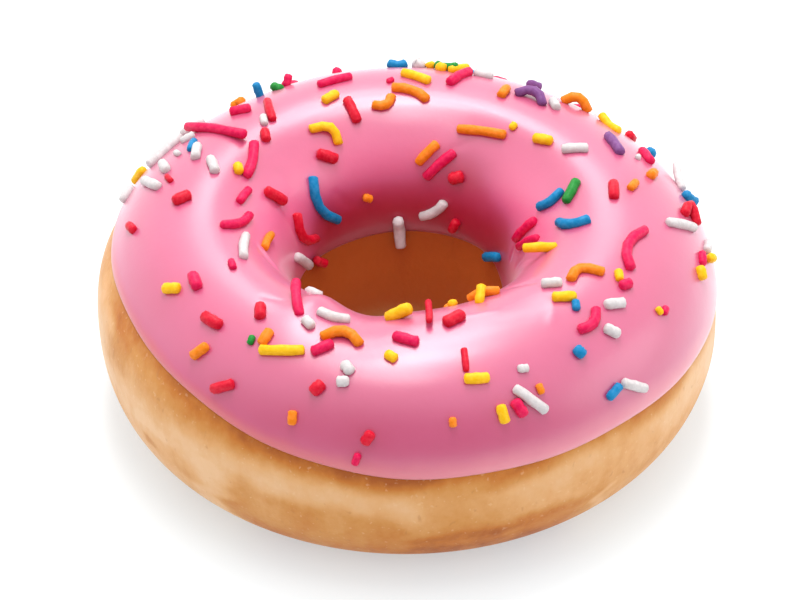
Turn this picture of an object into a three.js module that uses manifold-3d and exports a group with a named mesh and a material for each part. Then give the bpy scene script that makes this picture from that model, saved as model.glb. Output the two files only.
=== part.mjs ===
// A frosted ring doughnut with sprinkles, in millimetres, +Z up, standing on Z = 0 about the Z axis.
// Two angles in degrees name a spot on its skin. "Around" turns about the hole, from +X towards +Y.
// "Across" turns about the ring's own section: 0 is the outer equator, 90 the crest, 180 the waist
// of the hole and 270 the base.
import * as THREE from "three";
import Module from "manifold-3d";

const ringRadius = 30.8; // from the hole's axis to the middle of the ring's section
const outerWidth = 16.3; // from there out to the equator
const innerWidth = 14.1; // and in to the waist of the hole
const waistHeight = 16.3;
const topHeight = 18; // of the crest above the waist
const baseDepth = 16.8; // below the waist, before the base is flattened
const topRoundness = 2 / 2.1; // below 1 the section is squarer than an ellipse
const baseRoundness = 2 / 2.5;
const holeSquareness = 8; // of the lower half of the hole's wall, which is nearly upright
const holeTaper = 0.31; // share by which that wall reaches further in at the base
const holeShift = 0.8; // the hole is off centre, towards -X
const iceDepth = 1.3; // of the dough below the skin where icing covers it
const edgeDepth = 0.75; // and along the icing's thin edge
const gap = 0.3; // between the dough and the icing
const doughDented = 0.5; // share of each dent that the dough under the icing takes
const flatFrom = 254.4; // across angles between which the base is flat
const flatTo = 285.6;
const sprinkleRadius = 0.8;
const sprinkleLift = 0.37; // of a sprinkle's centre line above the icing, which it is pressed into
const aroundSteps = 54;
const iceOutSteps = 10;
const iceInSteps = 6;
const sprinkleSides = 5;

// Dents and bulges of the skin: around, across, how far each spreads in both, and the height in mm.
const dents = [
  [240, 112, 4.5, 14, 0.9],
  [256, 110, 8, 22, -1.2],
  [234, 112, 3, 12, -0.4],
  [133, 55, 14, 30, -0.5],
  [36, 55, 14, 30, -0.45],
];

// Each sprinkle lies from one spot of the icing to another: around and across of one end, and of the
// other. Where they matter, four more numbers follow in mm: how far the middle bows to the left, how
// far it arches up (below 0 both ends stand off instead), how far the second end stands off alone,
// and the girth against the usual one.
const sprinkles = {
  white: [
    [158.5, 48, 149.6, 54, 0, -0.1, 0, 1.1], [160.3, 80.5, 155.8, 77], [161.9, 61.8, 165, 67.1],
    [171.5, 66.5, 167, 55], [165.3, 94.5, 160.8, 89.3], [194.9, 116.5, 208, 106.1, 0, 0, 0, 0.95],
    [165.2, 168, 153.5, 180], [95.1, 173.9, 93.9, 184.8, 0, -0.6, 0, 1.15],
    [81.8, 171.4, 70.4, 162.5, -0.4], [243.4, 87.5, 245.2, 85.8],
    [245, 97.4, 252.2, 101.5, -0.4, 0, 0, 0.95], [256.8, 66.8, 258, 64.2, 0, 0, 0, 1.05],
    [256.5, 58.1, 257.7, 58.6], [291.2, 49.8, 295.5, 37.6], [315.6, 59, 316.9, 54.5],
    [313.3, 32.5, 317.2, 24.9, 0, 0, 0, 0.97], [320.2, 68.3, 323.4, 64.3], [313.9, 98.2, 317, 92.9],
    [356.2, 61.4, 360.3, 44.8, 0, 0, 0, 0.95], [361.6, 29.9, 358.1, 32.7, 0, 0, 0, 0.9],
    [15.8, 40, 22.7, 38, 0, -0.3, 1.1, 0.87], [87.8, 56, 87.1, 57, 0, -0.1, 0, 1.35],
    [72.9, 66.7, 69.4, 66.9, 0, 0, 0, 0.95], [50.2, 73.6, 47.8, 77.4], [29.9, 100.5, 26.8, 90.6],
  ],
  red: [
    [179.5, 79.8, 177.9, 85, 0, 0, 0, 1.2], [181.7, 51.8, 184.1, 54.7, 0, 0, 0, 0.85],
    [221.9, 64.5, 225.7, 65.1, 0, 0, 0, 1.15], [230.6, 84.6, 232.6, 79.8, 0, 0, 0, 1.05],
    [235.3, 42.5, 232.2, 37], [252, 51.8, 252.9, 54.8, 0, 0, 0, 1.15], [263.4, 35.3, 262.6, 32],
    [282.8, 74.5, 282.2, 64, 0, 0, 0, 0.6], [275.8, 92.9, 277.5, 120.3, 0, -0.8, 0, 0.65],
    [280.7, 92.5, 284.9, 95.8, 0, 0, 0, 1.15], [123, 134.5, 128, 129.5, 0, 0, 0, 1.2],
    [157.3, 138.5, 161.3, 128, 0, 0, 0, 1.1], [154, 150.9, 145.4, 169.6, -1.9],
    [141.8, 183.3, 147.8, 180, 0, -0.5, 0, 0.9], [109.5, 101.3, 108.8, 115.5, 0, 0, 0, 1.05],
    [129.4, 79, 134.2, 94.5, 0, 0, 0, 0.85], [140.4, 100.3, 142.4, 104.8],
    [63.8, 145.7, 67.5, 147.9, 0, 0, 0, 1.2], [64.2, 175, 62.2, 170.5], [2.3, 89.2, 8, 88.2],
    [3.5, 49.7, 3.9, 40.1, 2.4, 0.5],
  ],
  pink: [
    [146.3, 55.6, 147.3, 94.7, 0, -0.7], [137.7, 70.7, 135, 76.7, 0, 0, 0, 1.05],
    [167.6, 117.3, 174.8, 114.6, 0, 0, 0, 0.85], [191, 103.7, 180.7, 121.5, -1, 0, 0, 0.95],
    [147.5, 103, 161, 112.3, 0.6], [210, 75.3, 213.2, 73.5, 0, 0, 0, 1.15],
    [240.3, 90.8, 231.3, 110.1, 0, 0, 1.2, 0.92], [249.2, 71.5, 251.9, 77.5], [267.2, 86.1, 271.9, 82],
    [290.4, 44, 291.3, 38.7, 0, 0, 0, 1.1], [310.3, 65.4, 316.6, 69.3, -0.7], [327.7, 70.2, 329.3, 68.5],
    [334.4, 73, 349.3, 74, 1.7], [354.5, 37.8, 352.2, 36.8, 0, 0, 0, 0.85],
    [8.2, 138.1, 13.6, 154.7, 0, 0, 0, 0.95], [365.7, 153.9, 354.7, 137.5, 0, 0, 0, 0.85],
    [69.8, 134.5, 80.3, 149.3], [119.3, 60, 118.3, 60, 0, 0, 1, 0.85],
    [113.9, 80.8, 105.6, 78.8, 0, 0, 0, 0.95], [77.8, 86.1, 74.8, 68.8, 0, 0, 0, 1.05],
  ],
  yellow: [
    [159.8, 104.8, 161.6, 107.1], [208, 60.9, 210.2, 65.4, 0, 0, 0, 1.05], [238.4, 63.5, 246.4, 70],
    [265.7, 74.6, 267, 72.7, 0, 0, 0, 0.95], [264.4, 108.8, 270.2, 105.8, 0, 0, 0.9, 1.15],
    [282, 59.3, 285.8, 58.3], [287.4, 43.3, 287.7, 37.5], [311.5, 86.7, 315.3, 81.8],
    [349.4, 38.1, 348.2, 35.7, 0, 0, 0, 1.05], [355.6, 32, 357.5, 28, 0, -0.6, -0.2, 0.85],
    [339.5, 120.1, 334.2, 130, 0, 0, 2, 0.95], [293.9, 111.4, 296.7, 115.3, 0, 0, 1.4, 0.9],
    [116, 96.4, 112.1, 93.7], [125.8, 113.4, 118.7, 126.3, 1.4, 0.3], [90.9, 79.5, 84.3, 86.8],
    [85.2, 57, 84.2, 57, 0, -0.3, 0.1, 0.8], [82.3, 65.2, 81.4, 66.9, 0, 0, 0, 1.05],
    [79.1, 68, 76.2, 60, 0, 0, 0.3, 0.95], [40.9, 106.4, 36.5, 102.7, 0, 0, 0, 1.05],
    [40.8, 56, 35.1, 56, 0, -0.4, -0.5, 0.95],
  ],
  orange: [
    [237.4, 73.3, 237.4, 67.5], [226.4, 52.3, 225, 46], [248.8, 39.3, 249, 35.2, 0, 0, 0, 0.85],
    [249.6, 81.8, 258.3, 81.3, 1.4, 0.5], [320.8, 90.5, 328, 82.5, 1.6],
    [294.4, 124.8, 302.4, 116.1, 0, 0.4, 0, 0.95], [181.2, 139.2, 195.3, 130.5, 0, 0, 0, 0.85],
    [109.6, 161, 111.8, 159.8, 0, 0, 0, 0.85], [101.2, 107.5, 95.4, 102.5, -0.9], [94, 94.2, 84, 103, 0.5],
    [62.2, 87, 62.6, 80], [50, 63.1, 45.2, 55.9, 0, 1.2], [13.4, 65.5, 15, 62.5],
    [6.4, 80.3, 8.8, 77, 0, 0, 0, 0.85], [69.5, 119.5, 52.7, 114.1], [77.8, 131.5, 84.6, 142],
  ],
  green: [
    [5.8, 115, 12.8, 106.8], [122.4, 60, 121.6, 63.5, 0, -0.3, -0.5, 0.95],
    [83, 60, 78.4, 66, 0, -0.3, 0.2, 0.9],
  ],
  blue: [
    [306.6, 57.3, 307, 54.8, 0, 0, 0, 1.1], [309.2, 30.6, 311.7, 32.7, 0, 0, 0, 0.88],
    [351.1, 103.1, 354.2, 120.5, 1.1], [12, 117, 12.5, 131, 0.7], [129.3, 166.5, 136.3, 140, 1.9],
    [126.7, 61, 127, 62.2, 0, 0, 1.6, 0.85], [94, 57, 90.7, 57, 0, -0.3, -0.1, 0.95],
    [38.4, 180.1, 27.5, 174.7], [12.3, 42, 13, 34, 0, -0.2, 0.1, 1],
  ],
  purple: [
    [59.1, 80, 51.4, 79.9, 0.9, 0.8], [30.7, 72.2, 23.2, 74.9, 0, 0, 0, 1.05],
  ],
};

// Two more patches are strewn by a rule: least and most around, least and most across, and how many.
const strewn = [
  [12, 166, 26, 58, 20],
  [226, 322, 138, 166, 6],
];
const strewnRoom = 4.6; // least distance in mm between the middles of two of them

const wasm = await Module();
wasm.setup();

const sine = (degrees) => Math.sin(THREE.MathUtils.degToRad(degrees));
const cosine = (degrees) => Math.cos(THREE.MathUtils.degToRad(degrees));
const power = (x, exponent) => Math.sign(x) * Math.abs(x) ** exponent;
const bell = (x, width) => Math.exp(-((x / width) ** 2) / 2);
const turnBetween = (a, b) => ((((a - b + 180) % 360) + 360) % 360) - 180;

// The skin before its dents: a squarish section swept round, with its base flattened.
function plainSkin(around, across) {
  const outward = cosine(across);
  const upward = sine(across);
  const outerShare = (1 + outward) / 2;
  const roundness = upward > 0 ? topRoundness : baseRoundness;
  const rise = power(upward, roundness);
  let reach = power(outward, roundness);
  if (upward < 0 && outward < 0) {
    const upright = Math.max(0, 1 - Math.abs(rise) ** holeSquareness) ** (1 / holeSquareness);
    reach = -upright * (1 + holeTaper * Math.abs(rise) ** 1.3);
  }
  const crest = topHeight - 0.35 * sine(around) - 0.2 * cosine(2 * around) - 0.15 * sine(2 * around);
  const swell = 0.06 * cosine(2 * around) + 0.06 * cosine(3 * around) + 0.18 * sine(3 * around);
  const r =
    ringRadius +
    (outward > 0 ? outerWidth : innerWidth) * reach +
    swell * outerShare -
    holeShift * cosine(around) * (1 - outerShare);
  const z = waistHeight + (upward > 0 ? crest : baseDepth) * rise;
  return new THREE.Vector3(r * cosine(around), r * sine(around), Math.max(0, z));
}

function normalAt(around, across) {
  const alongRing = plainSkin(around + 0.5, across).sub(plainSkin(around - 0.5, across));
  const alongSection = plainSkin(around, across + 0.5).sub(plainSkin(around, across - 0.5));
  return alongRing.cross(alongSection).normalize();
}

// A spot on the skin, lifted off it along its normal, with the dents or a share of them.
function skin(around, across, lift = 0, dented = 1) {
  let height = lift;
  for (const [a, c, aroundSpread, acrossSpread, rise] of dents) {
    const dent = bell(turnBetween(around, a), aroundSpread) * bell(turnBetween(across, c), acrossSpread);
    height += dented * rise * dent;
  }
  return plainSkin(around, across).addScaledVector(normalAt(around, across), height);
}

// The icing's wavy edges, as across angles: low on the outside, and near the waist in the hole.
function outerEdge(around) {
  const drape = 17.4 + 10.4 * cosine(around + 169.4) + 3.7 * cosine(2 * around - 27.6);
  const wave = 2.3 * cosine(3 * around + 140.4) + 0.9 * cosine(4 * around - 162.9);
  return drape + wave + 0.3 * sine(13 * around);
}

function innerEdge(around) {
  const left = 2.5 * bell(turnBetween(around, 140), 25) + 4 * bell(turnBetween(around, 170), 12);
  const right = 14 * bell(turnBetween(around, 4), 16);
  return 177.7 + 0.3 * cosine(around) + 2.9 * sine(around) + left + right;
}

// Depth of the dough below the skin: it steps back under the icing and swells out again beyond it.
function doughDepth(around, across) {
  const low = outerEdge(around);
  const high = innerEdge(around);
  if (across > high) {
    const away = Math.min(across - high, low + 360 - across);
    return edgeDepth * (1 - THREE.MathUtils.smoothstep(away, 0, 20));
  }
  const under = Math.min(across - low, high - across);
  return edgeDepth + (iceDepth - edgeDepth) * THREE.MathUtils.smoothstep(under, 0, 12);
}

// A closed surface from rows of points, each row a loop. Rows either join round or end in flat caps.
function surface(rows, joined) {
  const size = rows[0].length;
  const faces = [];
  rows.forEach((row, i) => {
    if (i === rows.length - 1 && !joined) return;
    const here = i * size;
    const next = ((i + 1) % rows.length) * size;
    for (let j = 0; j < size; j++) {
      const k = (j + 1) % size;
      faces.push(here + j, next + j, next + k, here + j, next + k, here + k);
    }
  });
  const last = (rows.length - 1) * size;
  for (let j = 1; !joined && j < size - 1; j++) {
    faces.push(0, j, j + 1, last, last + j + 1, last + j);
  }
  const geometry = new THREE.BufferGeometry().setFromPoints(rows.flat());
  return geometry.setIndex(faces);
}

const aroundAngles = Array.from({ length: aroundSteps }, (_, i) => (i * 360) / aroundSteps);
const between = (low, high, share) => low + (high - low) * share;

// The dough's section has rows under the icing, then down the hole, over the flat base and up again.
function doughSection(around) {
  const low = outerEdge(around);
  const high = innerEdge(around);
  const section = [];
  for (let i = 0; i <= iceInSteps; i++) section.push(between(low, high, i / iceInSteps));
  for (const share of [0.12, 0.36, 0.7, 1]) section.push(between(high, flatFrom, share));
  section.push(270);
  for (const share of [0, 0.34, 0.66, 0.86]) section.push(between(flatTo, low + 360, share));
  return section.map((across) => skin(around, across, -doughDepth(around, across), doughDented));
}

// The icing's section goes up its outer face and back along its inner face, a gap off the dough.
function icingSection(around) {
  const low = outerEdge(around);
  const high = innerEdge(around);
  const section = [];
  for (let i = 0; i <= iceOutSteps; i++) section.push(skin(around, between(low, high, i / iceOutSteps)));
  for (let i = iceInSteps; i >= 0; i--) {
    const across = between(low, high, i / iceInSteps);
    section.push(skin(around, across, gap - doughDepth(around, across), doughDented));
  }
  return section;
}

// A sprinkle: a blunt rod along a curve through three points above the icing.
function sprinkleRod([around1, across1, around2, across2, bow = 0, arch = 0, tip = 0, girth = 1]) {
  const radius = sprinkleRadius * girth;
  const around = (around1 + around2) / 2;
  const across = (across1 + across2) / 2;
  const spot = plainSkin(around, across);
  const aroundScale = THREE.MathUtils.degToRad(Math.hypot(spot.x, spot.y));
  const acrossScale = 0.29; // mm along the section for each degree across
  const alongAround = (around2 - around1) * aroundScale;
  const alongAcross = (across2 - across1) * acrossScale;
  const chord = Math.hypot(alongAround, alongAcross);
  const middleAround = around - (alongAcross / chord) * (bow / aroundScale);
  const middleAcross = across + (alongAround / chord) * (bow / acrossScale);
  const lift = sprinkleLift * girth;
  const endLift = lift + Math.max(0, -arch);
  const start = skin(around1, across1, endLift - 0.25 * Math.max(0, tip)); // pushed in if it stands up
  const middle = skin(middleAround, middleAcross, lift + Math.max(0, arch) + 0.4 * tip);
  const end = skin(around2, across2, endLift + tip);

  const centre = (t) =>
    new THREE.Vector3()
      .addScaledVector(start, (t * t - t) / 2)
      .addScaledVector(middle, 1 - t * t)
      .addScaledVector(end, (t * t + t) / 2);
  const direction = (t) =>
    new THREE.Vector3()
      .addScaledVector(start, t - 0.5)
      .addScaledVector(middle, -2 * t)
      .addScaledVector(end, t + 0.5)
      .normalize();
  const up = normalAt(middleAround, middleAcross);
  const ring = (t, beyond, size) => {
    const along = direction(t);
    const side = up.clone().cross(along).normalize();
    const top = along.clone().cross(side);
    const middleOfRing = centre(t).addScaledVector(along, beyond);
    return Array.from({ length: sprinkleSides }, (_, i) =>
      middleOfRing
        .clone()
        .addScaledVector(top, -size * cosine((i * 360) / sprinkleSides))
        .addScaledVector(side, -size * sine((i * 360) / sprinkleSides)),
    );
  };
  const size = 1.08 * radius; // the corners stand a little outside the round
  const long = chord > 5 || bow !== 0;
  const rings = long ? [ring(-0.5, 0, size), ring(0.5, 0, size)] : [ring(0, 0, size)];
  rings.unshift(ring(-1, -0.6 * radius, 0.72 * size));
  rings.push(ring(1, 0.6 * radius, 0.72 * size));
  return surface(rings, false);
}

// Strewn sprinkles: spots drawn by a seeded rule, kept only where there is room.
function strewnRows(placed) {
  let seed = 13;
  const draw = (least, most) => {
    seed = (seed * 16807) % 2147483647;
    return least + ((most - least) * seed) / 2147483647;
  };
  const middles = placed.map((row) => plainSkin((row[0] + row[2]) / 2, (row[1] + row[3]) / 2));
  const rows = [];
  for (const [leastAround, mostAround, leastAcross, mostAcross, count] of strewn) {
    for (let found = 0, tries = 0; found < count && tries < 4000; tries++) {
      const around = draw(leastAround, mostAround);
      const across = draw(leastAcross, mostAcross);
      const turn = draw(0, 180);
      const half = draw(0.5, 1.9);
      const bow = draw(-0.6, 0.6);
      const spot = plainSkin(around, across);
      if (middles.some((middle) => middle.distanceTo(spot) < strewnRoom + half / 2)) continue;
      const aroundHalf = (half * cosine(turn)) / THREE.MathUtils.degToRad(Math.hypot(spot.x, spot.y));
      const acrossHalf = (half * sine(turn)) / 0.29;
      middles.push(spot);
      rows.push([around - aroundHalf, across - acrossHalf, around + aroundHalf, across + acrossHalf, bow]);
      found++;
    }
  }
  return rows;
}

function solidOf(geometry) {
  return new wasm.Manifold(
    new wasm.Mesh({
      numProp: 3,
      vertProperties: geometry.getAttribute("position").array,
      triVerts: new Uint32Array(geometry.index.array),
    }),
  );
}

function geometryOf(solid) {
  const { vertProperties, triVerts } = solid.getMesh();
  const geometry = new THREE.BufferGeometry();
  geometry.setAttribute("position", new THREE.BufferAttribute(vertProperties, 3));
  geometry.setIndex(new THREE.BufferAttribute(triVerts, 1));
  geometry.computeVertexNormals();
  return geometry;
}

const placedRows = Object.values(sprinkles).flat();
const allRows = [...placedRows, ...strewnRows(placedRows)];
const icingShell = solidOf(surface(aroundAngles.map(icingSection), true));
const icingSolid = allRows.reduce((solid, row) => solid.add(solidOf(sprinkleRod(row))), icingShell);

const dough = new THREE.Mesh(
  surface(aroundAngles.map(doughSection), true),
  new THREE.MeshStandardMaterial({ color: 0xd9a066, roughness: 0.7, metalness: 0 }),
);
dough.name = "dough";

const icing = new THREE.Mesh(
  geometryOf(icingSolid),
  new THREE.MeshStandardMaterial({ color: 0xf096b9, roughness: 0.3, metalness: 0 }),
);
icing.name = "icing";

const doughnut = new THREE.Group();
doughnut.add(dough, icing);

export default doughnut;
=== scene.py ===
import bpy
import numpy as np
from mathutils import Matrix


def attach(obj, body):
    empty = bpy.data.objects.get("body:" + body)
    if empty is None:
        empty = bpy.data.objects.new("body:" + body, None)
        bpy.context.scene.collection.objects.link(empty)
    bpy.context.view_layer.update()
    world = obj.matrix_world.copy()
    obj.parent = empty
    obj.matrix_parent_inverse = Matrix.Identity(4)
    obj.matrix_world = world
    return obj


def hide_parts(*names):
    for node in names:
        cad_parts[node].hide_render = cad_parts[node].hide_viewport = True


# A frosted ring doughnut with sprinkles. Shapes are worked out in mm and go into the meshes in metres.
# A spot on its skin is two angles in degrees: "around" turns about the hole from +X towards +Y, and
# "across" turns about the ring's own section: 0 outer equator, 90 crest, 180 waist of the hole, 270 base.
mm = 0.001
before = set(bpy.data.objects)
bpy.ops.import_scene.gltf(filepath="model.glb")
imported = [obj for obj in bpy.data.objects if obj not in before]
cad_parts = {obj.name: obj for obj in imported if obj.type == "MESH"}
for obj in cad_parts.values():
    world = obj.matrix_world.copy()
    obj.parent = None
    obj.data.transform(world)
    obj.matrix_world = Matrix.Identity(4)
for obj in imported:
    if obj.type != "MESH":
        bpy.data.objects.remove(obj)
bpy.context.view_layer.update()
print("frame loaded:", sorted(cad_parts))

view = {
    "aim": (0, 0, 0.014), "distance": 0.425, "elevation": 39, "nearest": 0.01,  # metres and degrees
    "pxPerMm": 6.53, "aimPx": (407.5, 307.7), "widthPx": 800, "heightPx": 600, "sensorMm": 36,
}
tilt = np.radians(view["elevation"])
cameraData = bpy.data.cameras.new("camera")
cameraData.sensor_width = view["sensorMm"]
cameraData.lens = view["sensorMm"] * view["pxPerMm"] * view["distance"] / mm / view["widthPx"]
cameraData.shift_x = (view["widthPx"] / 2 - view["aimPx"][0]) / view["widthPx"]
cameraData.shift_y = (view["aimPx"][1] - view["heightPx"] / 2) / view["widthPx"]
cameraData.clip_start = view["nearest"]
camera = bpy.data.objects.new("camera", cameraData)
camera.location = np.array(view["aim"]) + view["distance"] * np.array([0, -np.cos(tilt), np.sin(tilt)])
camera.rotation_euler = (np.pi / 2 - tilt, 0, 0)
bpy.context.scene.collection.objects.link(camera)
bpy.context.scene.camera = camera
bpy.context.scene.view_settings.view_transform = "Standard"
print("camera placed")

ring = {
    "radius": 30.8, "outerWidth": 16.3, "innerWidth": 14.1,
    "waistHeight": 16.3, "topHeight": 18.0, "baseDepth": 16.8,
    "topRoundness": 2 / 2.1, "baseRoundness": 2 / 2.5,
    "holeSquareness": 8, "holeTaper": 0.31, "taperPower": 1.3, "holeShift": 0.8,
    "mmPerDegree": 0.29,  # of skin, across
    # waves round the ring: how many, turned by how many degrees, and how high
    "crestWaves": [(1, -90, -0.35), (2, 0, -0.2), (2, -90, -0.15)],
    "sideWaves": [(2, 0, 0.06), (3, 0, 0.06), (3, -90, 0.18)],
    "outerEdge": 17.4,
    "outerEdgeWaves": [(1, 169.4, 10.4), (2, -27.6, 3.7), (3, 140.4, 2.3), (4, -162.9, 0.9), (13, -90, 0.3)],
    "innerEdge": 177.7, "innerEdgeWaves": [(1, 0, 0.3), (1, -90, 2.9)],
    "innerEdgeSags": [(140, 25, 2.5), (170, 12, 4), (4, 16, 14)],  # around, spread, how far down
    "iceDepth": 1.3, "edgeDepth": 0.42, "iceBlend": 12, "bareBlend": 20,  # mm, mm, degrees, degrees
    "doughDented": 0.5,  # share of the icing's dents that the dough has too
    # around, across, spread around, spread across, rise
    "dents": [
        (240, 112, 4.5, 14, 0.9), (256, 110, 8, 22, -1.2), (234, 112, 3, 12, -0.4),
        (133, 55, 14, 30, -0.5), (36, 55, 14, 30, -0.45),
    ],
    # finer ones, on the icing alone
    "swells": [
        (268, 52, 20, 10, 0.3), (247, 80, 5, 9, -0.14), (248, 96, 14, 6, -0.1),
        (294, 88, 7, 5, 0.1), (284, 97, 10, 4, 0.1), (200, 66, 13, 10, 0.22),
        (208, 98, 12, 7, 0.1), (306, 92, 6, 6, -0.1), (313, 80, 8, 5, 0.08),
        (66, 102, 26, 7, 0.3), (60, 118, 9, 6, -0.06), (75, 138, 5, 14, 0.18),
        (58, 142, 8, 16, -0.12), (330, 60, 16, 9, 0.12), (345, 95, 12, 8, -0.1),
        (20, 90, 14, 8, 0.1), (165, 95, 12, 9, 0.12), (182, 112, 8, 9, -0.12),
    ],
    # folds: around and across of one end and the other, then in mm how wide and how high
    "folds": [
        (161, 130, 158, 170, 0.55, -0.22), (150, 122, 147, 142, 0.6, -0.1), (192, 127, 210, 135, 0.3, 0.13),
        (194, 124, 214, 131, 0.35, -0.13), (15, 171, 14, 158, 0.3, -0.14), (5, 167, -6, 150, 0.35, -0.16),
        (-2, 161, -24, 131, 0.35, -0.16), (-10, 158, -28, 136, 0.3, 0.1), (306, 121, 316, 102, 0.35, -0.14),
        (278, 99, 298, 95, 0.5, 0.1), (312, 90, 304, 72, 0.5, 0.06), (226, 90, 236, 98, 0.4, -0.08),
        (309, 30, 318, 18, 0.6, 0.12), (128, 150, 120, 165, 0.5, -0.08), (60, 120, 86, 150, 0.6, -0.1),
    ],
    "foldFade": 0.25,  # share of a fold's length over which each end fades
    "foldHoleFrom": 120, "foldHoleReach": 0.9,  # folds that start past this run on the hole's smaller ring
}


def sine(degrees):
    return np.sin(np.radians(degrees))


def cosine(degrees):
    return np.cos(np.radians(degrees))


def power(x, exponent):
    # the size of x to a power, with the sign of x
    return np.sign(x) * np.abs(x) ** exponent


def bell(x, width):
    # 1 in the middle, falling off as e to minus half the square of x over the width
    return np.exp(-((x / width) ** 2) / 2)


def turnBetween(a, b):
    # a minus b, brought to between -180 and 180 degrees
    return (a - b + 180) % 360 - 180


def smooth(x):
    # 0 below 0, 1 above 1, and three squares less two cubes in between
    x = np.clip(x, 0, 1)
    return x * x * (3 - 2 * x)


def span(x, width, soft):
    # 1 from 0 to the width, and 0 outside, with soft steps
    return smooth(x / soft / 2 + 0.5) * smooth((width - x) / soft / 2 + 0.5)


def waves(angle, terms):
    # a sum of heights, each times the cosine of its count times the angle plus its turn
    return sum(height * cosine(count * angle + turn) for count, turn, height in terms)


def mound(around, across, spot):
    # a rise times two bells, one of the way around from the spot and one of the way across
    spotAround, spotAcross, aroundSpread, acrossSpread, rise = spot
    besides = bell(turnBetween(around, spotAround), aroundSpread)
    return rise * besides * bell(turnBetween(across, spotAcross), acrossSpread)


def plainSkin(around, across):
    # ring radius plus a squarish section's cosine outwards, and its sine upwards, cut flat at the base
    outward, upward = cosine(across), sine(across)
    outerShare = (1 + outward) / 2
    roundness = np.where(upward > 0, ring["topRoundness"], ring["baseRoundness"])
    rise, reach = power(upward, roundness), power(outward, roundness)
    upright = -np.maximum(0, 1 - np.abs(rise) ** ring["holeSquareness"]) ** (1 / ring["holeSquareness"])
    upright = upright * (1 + ring["holeTaper"] * np.abs(rise) ** ring["taperPower"])  # narrower downwards
    reach = np.where((upward < 0) & (outward < 0), upright, reach)
    width = np.where(outward > 0, ring["outerWidth"], ring["innerWidth"])
    r = ring["radius"] + width * reach + waves(around, ring["sideWaves"]) * outerShare
    r = r - ring["holeShift"] * cosine(around) * (1 - outerShare)
    crest = ring["topHeight"] + waves(around, ring["crestWaves"])
    z = ring["waistHeight"] + np.where(upward > 0, crest, ring["baseDepth"]) * rise
    return np.stack([r * cosine(around), r * sine(around), np.maximum(z, 0)], -1)


def unit(vectors):
    return vectors / np.linalg.norm(vectors, axis=-1, keepdims=True)


def normalAt(around, across):
    # the cross product of a degree along the ring and a degree along its section
    alongRing = plainSkin(around + 0.5, across) - plainSkin(around - 0.5, across)
    alongSection = plainSkin(around, across + 0.5) - plainSkin(around, across - 0.5)
    return unit(np.cross(alongRing, alongSection))


def relief(around, across):
    # swells, and folds: a bell of the distance from a line that fades at its ends
    height = np.zeros(around.shape)
    for spot in ring["swells"]:
        height += mound(around, across, spot)
    for around1, across1, around2, across2, width, rise in ring["folds"]:
        inHole = across1 > ring["foldHoleFrom"]
        aroundScale = np.radians(ring["radius"] - ring["foldHoleReach"] * ring["innerWidth"] * inHole)
        acrossScale = ring["mmPerDegree"]
        x, y = turnBetween(around, around1) * aroundScale, (across - across1) * acrossScale
        endX, endY = (around2 - around1) * aroundScale, (across2 - across1) * acrossScale
        long = np.hypot(endX, endY)
        share, aside = (x * endX + y * endY) / long / long, (x * endY - y * endX) / long
        ends = smooth(share / ring["foldFade"]) * smooth((1 - share) / ring["foldFade"])
        height += rise * bell(aside, width) * ends
    return height


def skin(around, across, lift=0.0, dented=1.0):
    # the plain skin moved along its normal by the lift, the dents' mounds and, fully dented, the relief
    around, across = np.broadcast_arrays(np.asarray(around, float), np.asarray(across, float))
    height = np.zeros(around.shape) + lift
    if dented == 1:
        height = height + relief(around, across)
    for spot in ring["dents"]:
        height += dented * mound(around, across, spot)
    return plainSkin(around, across) + normalAt(around, across) * height[..., None]


def outerEdge(around):
    # a level across, plus waves round the ring
    return ring["outerEdge"] + waves(around, ring["outerEdgeWaves"])


def innerEdge(around):
    # a level near the waist, plus waves, plus bells where the icing has run further down
    edge = ring["innerEdge"] + waves(around, ring["innerEdgeWaves"])
    for middle, spread, down in ring["innerEdgeSags"]:
        edge = edge + down * bell(turnBetween(around, middle), spread)
    return edge


def doughDepth(around, across):
    # how far the dough lies below the skin: deeper under the icing, and out to the skin again beyond it
    low, high = outerEdge(around), innerEdge(around)
    away = np.minimum(across - high, low + 360 - across)
    under = np.minimum(across - low, high - across)
    bare = ring["edgeDepth"] * (1 - smooth(away / ring["bareBlend"]))
    covered = ring["edgeDepth"] + (ring["iceDepth"] - ring["edgeDepth"]) * smooth(under / ring["iceBlend"])
    return np.where(across > high, bare, covered)


def makePiece(name, points, quads, triangles=None, attributes=None):
    mesh = bpy.data.meshes.new(name)
    faces = quads.tolist() + ([] if triangles is None else triangles.tolist())
    mesh.from_pydata((points.reshape(-1, 3) * mm).tolist(), [], faces)
    mesh.polygons.foreach_set("use_smooth", np.ones(len(mesh.polygons), bool))
    for label, values in (attributes or {}).items():
        layer = mesh.attributes.new(label, "FLOAT", "POINT")
        layer.data.foreach_set("value", np.ascontiguousarray(values, np.float32).ravel())
    mesh.update()
    piece = bpy.data.objects.new(name, mesh)
    bpy.context.scene.collection.objects.link(piece)
    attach(piece, "root")
    return piece


def ringQuads(rows, columns):
    # a grid whose rows and columns both join round
    i, j = np.meshgrid(np.arange(rows), np.arange(columns), indexing="ij")
    nextI, nextJ = (i + 1) % rows, (j + 1) % columns
    corners = [i * columns + j, nextI * columns + j, nextI * columns + nextJ, i * columns + nextJ]
    return np.stack(corners, -1).reshape(-1, 4)


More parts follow.
